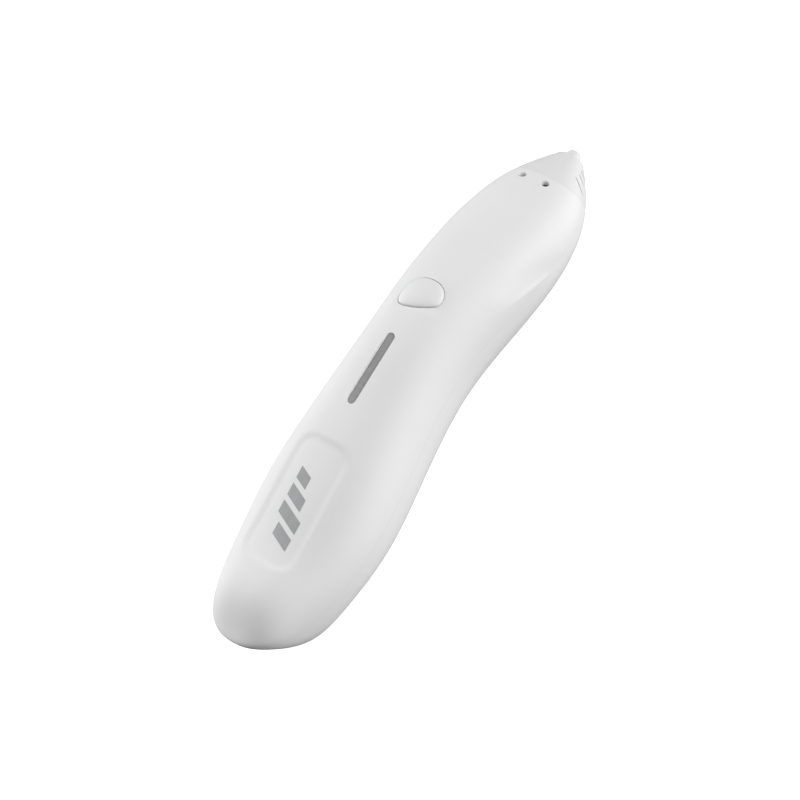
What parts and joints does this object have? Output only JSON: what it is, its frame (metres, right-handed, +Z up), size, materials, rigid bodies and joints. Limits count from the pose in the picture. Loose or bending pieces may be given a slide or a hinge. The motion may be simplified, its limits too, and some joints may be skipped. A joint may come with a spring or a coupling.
{
  "type": "three d pen",
  "caption": "Cordless handheld drawing pen that feeds plastic filament by a geared motor wheel and sprung idler to a heated nozzle, with a press button on top.",
  "frame": {"origin": "under the middle of the pen, on the plane of the two flat places of the belly that it lies on", "axes": "+X along the pen towards the nozzle, +Y to the pen's left seen from the tail, +Z up through the button"},
  "size_m": [0.1772, 0.0384, 0.0417],
  "materials": {
    "shell_white_plastic": "satin moulded, fine texture",
    "nose_cap_plastic": "satin moulded",
    "button_plastic": "smooth satin",
    "window_smoked_plastic": "smoked light window",
    "dark_plastic": "dark moulded",
    "natural_nylon": "natural moulded nylon",
    "black_nylon": "black moulded nylon",
    "steel": "machined and plated",
    "brass": "machined",
    "aluminium": "turned",
    "circuit_board": "solder mask",
    "battery_wrap": "shrink wrap",
    "led_lens": "clear resin",
    "hose_plastic": "slippery hose",
    "ceramic": "fired ceramic"
  },
  "bodies": {
    "pen_body": {"upper_shell": "shell_white_plastic", "lower_shell": "shell_white_plastic", "nose_cap": "nose_cap_plastic", "tail_port_plate": "shell_white_plastic", "charge_socket": "steel", "charge_socket_tongue": "dark_plastic", "charge_board": "circuit_board", "filament_inlet_bush": "dark_plastic", "switch_body": "black_nylon", "light_window": "window_smoked_plastic", "status_led_1": "led_lens", "status_led_2": "led_lens", "status_led_3": "led_lens", "eye_lens_left": "dark_plastic", "eye_lens_right": "dark_plastic", "battery_cell": "battery_wrap", "battery_cradle": "natural_nylon", "main_board": "circuit_board", "driver_chip": "black_nylon", "board_screw_1": "steel", "board_screw_2": "steel", "case_screw_1": "steel", "case_screw_2": "steel", "case_screw_3": "steel", "case_screw_4": "steel", "gear_motor_can": "steel", "gearbox_housing": "brass", "gearbox_collar": "brass", "feed_bush_left": "brass", "feed_bush_right": "brass", "feed_frame": "black_nylon", "idler_pivot_pin": "steel", "idler_spring": "steel", "inlet_tube": "hose_plastic", "feed_tube": "hose_plastic", "heat_sink": "aluminium", "insulating_collar": "ceramic", "melt_barrel": "brass", "heater_coil": "ceramic", "temperature_sensor": "dark_plastic", "nozzle": "nose_cap_plastic"},
    "button": {"button_cap": "button_plastic"},
    "plunger": {"switch_plunger": "dark_plastic"},
    "feed_drive": {"feed_shaft": "steel", "feed_gear": "natural_nylon", "feed_wheel": "steel"},
    "motor_rotor": {"motor_shaft": "steel", "motor_pinion": "brass"},
    "idler": {"idler_arm": "natural_nylon", "idler_axle": "steel"},
    "roller": {"idler_roller": "steel"}
  },
  "joints": [
    {"name": "button_press", "type": "slide", "parent": "pen_body", "child": "button", "axis": [0, 0, -1], "range_m": [0, 0.0006], "stiffness_N_per_m": 250},
    {"name": "plunger_press", "type": "slide", "parent": "pen_body", "child": "plunger", "axis": [0, 0, -1], "range_m": [0, 0.0006]},
    {"name": "feed_spin", "type": "hinge", "parent": "pen_body", "child": "feed_drive", "pos_m": [-0.01545, 0, 0.0199], "axis": [0, 1, 0], "continuous": true},
    {"name": "motor_spin", "type": "hinge", "parent": "pen_body", "child": "motor_rotor", "pos_m": [-0.02953, 0, 0.02289], "axis": [0, 1, 0], "continuous": true},
    {"name": "idler_swing", "type": "hinge", "parent": "pen_body", "child": "idler", "pos_m": [-0.01045, 0, 0.008], "axis": [0, -1, 0], "range_deg": [0, 7], "stiffness_Nm_per_rad": 0.02, "springref_deg": -17.19, "deforming": ["idler_spring"]},
    {"name": "idler_roll", "type": "hinge", "parent": "idler", "child": "roller", "pos_m": [-0.01545, 0, 0.0096], "axis": [0, 1, 0], "continuous": true}
  ],
  "couplings": [
    {"joint": "motor_spin", "follows": "feed_spin", "ratio": -2.2},
    {"joint": "plunger_press", "follows": "button_press", "ratio": 1}
  ]
}
